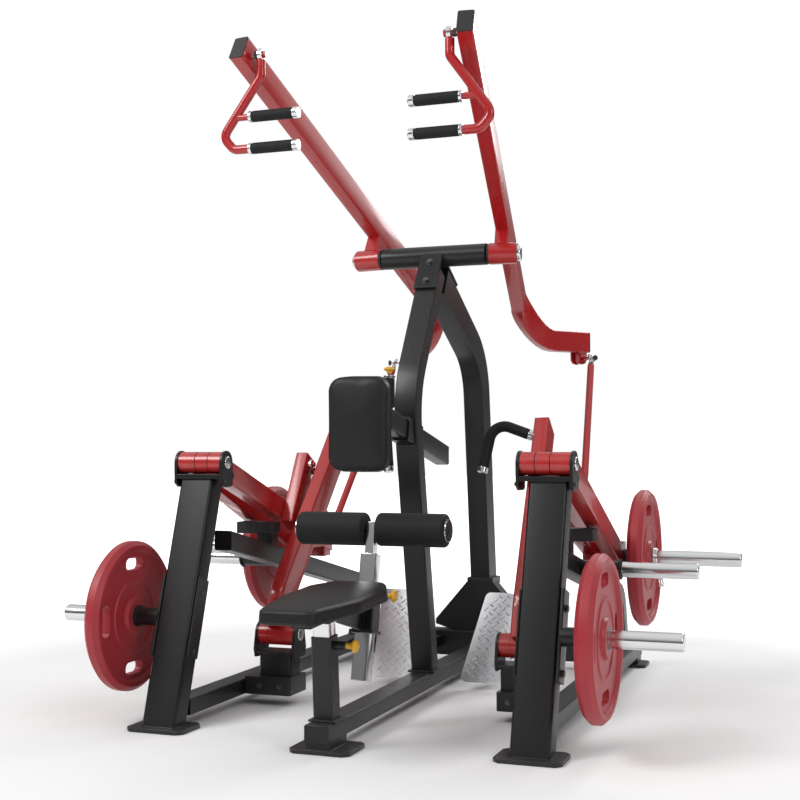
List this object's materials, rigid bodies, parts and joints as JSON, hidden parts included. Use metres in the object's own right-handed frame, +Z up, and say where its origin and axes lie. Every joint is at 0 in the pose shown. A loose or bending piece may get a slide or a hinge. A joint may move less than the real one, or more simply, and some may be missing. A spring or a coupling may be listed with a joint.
{
  "type": "lat pulldown machine",
  "caption": "Plate-loaded pulldown and row machine: twin overhead arms linked to loading levers, row handles, seat, thigh rollers, chest pad and footrests.",
  "frame": {"origin": "on the floor, in the centre plane, under the middle of the overall length", "axes": "+X to the right hand of the user, who sits facing +Y with their chest to the pad; +Y from the seat to the rear frame; +Z up"},
  "size_m": [2, 1.9845, 2.0468],
  "materials": {
    "black_frame": "black powder coat, satin",
    "red_paint": "gloss red paint",
    "chrome": "polished",
    "red_plate": "moulded red urethane, satin",
    "black_vinyl": "black vinyl upholstery over foam",
    "black_foam": "black foam rubber, matt",
    "black_rubber": "black rubber, matt",
    "yellow_plastic": "yellow knob on a plunger",
    "diamond_plate": "tread plate"
  },
  "bodies": {
    "frame": {"base_beam": "black_frame", "rear_cross_tube": "black_frame", "column": "black_frame", "rear_post": "black_frame", "top_bar": "black_frame", "seat_post": "black_frame", "left_base_tube": "black_frame", "left_post": "black_frame", "left_row_stand": "black_frame", "left_brace": "black_frame", "left_stop_bumper": "black_rubber", "left_storage_horn": "chrome", "left_footrest": "diamond_plate", "left_arm_axle": "chrome", "right_base_tube": "black_frame", "right_post": "black_frame", "right_row_stand": "black_frame", "right_brace": "black_frame", "right_stop_bumper": "black_rubber", "right_storage_horn": "chrome", "right_footrest": "diamond_plate", "right_arm_axle": "chrome"},
    "seat": {"seat_tube": "chrome", "seat_bracket": "black_frame", "seat_pad": "black_vinyl"},
    "seat_pin": {"seat_pull_pin": "yellow_plastic"},
    "thigh_pin": {"thigh_pull_pin": "yellow_plastic"},
    "thigh": {"thigh_post": "chrome"},
    "chest": {"chest_tube": "black_frame", "chest_grip": "black_foam", "chest_pad": "black_vinyl"},
    "chest_release": {"chest_button": "yellow_plastic"},
    "left_roller": {"left_thigh_roller": "black_foam"},
    "left_weight_arm": {"left_weight_arm": "red_paint", "left_load_horn": "chrome"},
    "left_load": {"left_load_plate": "red_plate"},
    "left_collar": {"left_spring_collar": "chrome"},
    "left_store": {"left_storage_plate": "red_plate"},
    "left_lat_arm": {"left_lat_arm": "red_paint"},
    "left_link": {"left_link_rod": "red_paint"},
    "left_handle": {"left_lat_handle": "red_paint", "left_upper_grip": "black_foam", "left_lower_grip": "black_foam"},
    "left_row_lever": {"left_row_lever": "red_paint", "left_row_handle": "black_foam"},
    "left_row_link": {"left_row_link": "chrome"},
    "right_roller": {"right_thigh_roller": "black_foam"},
    "right_weight_arm": {"right_weight_arm": "red_paint", "right_load_horn": "chrome"},
    "right_load": {"right_load_plate": "red_plate"},
    "right_collar": {"right_spring_collar": "chrome"},
    "right_store": {"right_storage_plate": "red_plate"},
    "right_lat_arm": {"right_lat_arm": "red_paint"},
    "right_link": {"right_link_rod": "red_paint"},
    "right_handle": {"right_lat_handle": "red_paint", "right_upper_grip": "black_foam", "right_lower_grip": "black_foam"},
    "right_row_lever": {"right_row_lever": "red_paint", "right_row_handle": "black_foam"},
    "right_row_link": {"right_row_link": "chrome"}
  },
  "joints": [
    {"name": "seat_height", "type": "slide", "parent": "frame", "child": "seat", "axis": [0, -0.0776, 0.997], "range_m": [-0.02, 0.05]},
    {"name": "seat_pin_pull", "type": "slide", "parent": "frame", "child": "seat_pin", "axis": [1, 0, 0], "range_m": [0, 0.012], "stiffness_N_per_m": 600, "springref_m": -0.008},
    {"name": "thigh_height", "type": "slide", "parent": "seat", "child": "thigh", "axis": [0, 0.2147, 0.9767], "range_m": [-0.03, 0.05]},
    {"name": "thigh_pin_pull", "type": "slide", "parent": "seat", "child": "thigh_pin", "axis": [1, 0, 0], "range_m": [0, 0.012], "stiffness_N_per_m": 600, "springref_m": -0.008},
    {"name": "chest_reach", "type": "slide", "parent": "frame", "child": "chest", "axis": [0, 0.9792, -0.2028], "range_m": [-0.08, 0.06]},
    {"name": "chest_release_press", "type": "slide", "parent": "chest", "child": "chest_release", "axis": [0, 0, -1], "range_m": [0, 0.004], "stiffness_N_per_m": 800, "springref_m": -0.004},
    {"name": "left_roller_spin", "type": "hinge", "parent": "thigh", "child": "left_roller", "pos_m": [-0.125, -0.3691, 0.5775], "axis": [1, 0, 0], "continuous": true},
    {"name": "left_weight_arm_lift", "type": "hinge", "parent": "frame", "child": "left_weight_arm", "pos_m": [-0.54425, -0.4171, 0.775], "axis": [1, 0, 0], "range_deg": [0, 25]},
    {"name": "left_load_plate_slide", "type": "slide", "parent": "left_weight_arm", "child": "left_load", "axis": [-1, 0, 0], "range_m": [0, 0.24]},
    {"name": "left_collar_slide", "type": "slide", "parent": "left_load", "child": "left_collar", "axis": [-1, 0, 0], "range_m": [0, 0.24]},
    {"name": "left_storage_plate_slide", "type": "slide", "parent": "frame", "child": "left_store", "axis": [-1, 0, 0], "range_m": [0, 0.18]},
    {"name": "left_lat_arm_pull", "type": "hinge", "parent": "frame", "child": "left_lat_arm", "pos_m": [-0.23547, 0.22916, 1.475], "axis": [0.9894, -0.1452, 0], "range_deg": [0, 28]},
    {"name": "left_link_rod_swing", "type": "hinge", "parent": "left_lat_arm", "child": "left_link", "pos_m": [-0.399, 0.9039, 1.159], "axis": [0.9732, -0.225, -0.047], "range_deg": [-32.2, 0]},
    {"name": "left_handle_swing", "type": "hinge", "parent": "left_lat_arm", "child": "left_handle", "pos_m": [-0.296, -0.5251, 1.995], "axis": [1, 0, 0], "range_deg": [-65, 18]},
    {"name": "left_row_lever_pull", "type": "hinge", "parent": "frame", "child": "left_row_lever", "pos_m": [-0.401, -0.1671, 0.222], "axis": [1, 0, 0], "range_deg": [0, 23.5]},
    {"name": "left_row_link_swing", "type": "hinge", "parent": "left_weight_arm", "child": "left_row_link", "pos_m": [-0.4165, 0.1179, 0.762], "axis": [1, 0, 0], "range_deg": [-46.3, 0]},
    {"name": "right_roller_spin", "type": "hinge", "parent": "thigh", "child": "right_roller", "pos_m": [0.125, -0.3691, 0.5775], "axis": [1, 0, 0], "continuous": true},
    {"name": "right_weight_arm_lift", "type": "hinge", "parent": "frame", "child": "right_weight_arm", "pos_m": [0.54425, -0.4171, 0.775], "axis": [1, 0, 0], "range_deg": [0, 25]},
    {"name": "right_load_plate_slide", "type": "slide", "parent": "right_weight_arm", "child": "right_load", "axis": [1, 0, 0], "range_m": [0, 0.24]},
    {"name": "right_collar_slide", "type": "slide", "parent": "right_load", "child": "right_collar", "axis": [1, 0, 0], "range_m": [0, 0.24]},
    {"name": "right_storage_plate_slide", "type": "slide", "parent": "frame", "child": "right_store", "axis": [1, 0, 0], "range_m": [0, 0.18]},
    {"name": "right_lat_arm_pull", "type": "hinge", "parent": "frame", "child": "right_lat_arm", "pos_m": [0.23547, 0.22916, 1.475], "axis": [0.9894, 0.1452, 0], "range_deg": [0, 28]},
    {"name": "right_link_rod_swing", "type": "hinge", "parent": "right_lat_arm", "child": "right_link", "pos_m": [0.399, 0.9039, 1.159], "axis": [0.9732, 0.225, 0.047], "range_deg": [-32.2, 0]},
    {"name": "right_handle_swing", "type": "hinge", "parent": "right_lat_arm", "child": "right_handle", "pos_m": [0.296, -0.5251, 1.995], "axis": [1, 0, 0], "range_deg": [-65, 18]},
    {"name": "right_row_lever_pull", "type": "hinge", "parent": "frame", "child": "right_row_lever", "pos_m": [0.401, -0.1671, 0.222], "axis": [1, 0, 0], "range_deg": [0, 23.5]},
    {"name": "right_row_link_swing", "type": "hinge", "parent": "right_weight_arm", "child": "right_row_link", "pos_m": [0.4165, 0.1179, 0.762], "axis": [1, 0, 0], "range_deg": [-46.3, 0]}
  ],
  "couplings": [
    {"joint": "left_lat_arm_pull", "follows": "left_weight_arm_lift", "ratio": 1.1184},
    {"joint": "left_link_rod_swing", "follows": "left_weight_arm_lift", "ratio": -1.2835},
    {"joint": "left_row_lever_pull", "follows": "left_weight_arm_lift", "ratio": 0.9385},
    {"joint": "left_row_link_swing", "follows": "left_weight_arm_lift", "ratio": -1.8467},
    {"joint": "right_lat_arm_pull", "follows": "right_weight_arm_lift", "ratio": 1.1184},
    {"joint": "right_link_rod_swing", "follows": "right_weight_arm_lift", "ratio": -1.2835},
    {"joint": "right_row_lever_pull", "follows": "right_weight_arm_lift", "ratio": 0.9385},
    {"joint": "right_row_link_swing", "follows": "right_weight_arm_lift", "ratio": -1.8467}
  ]
}
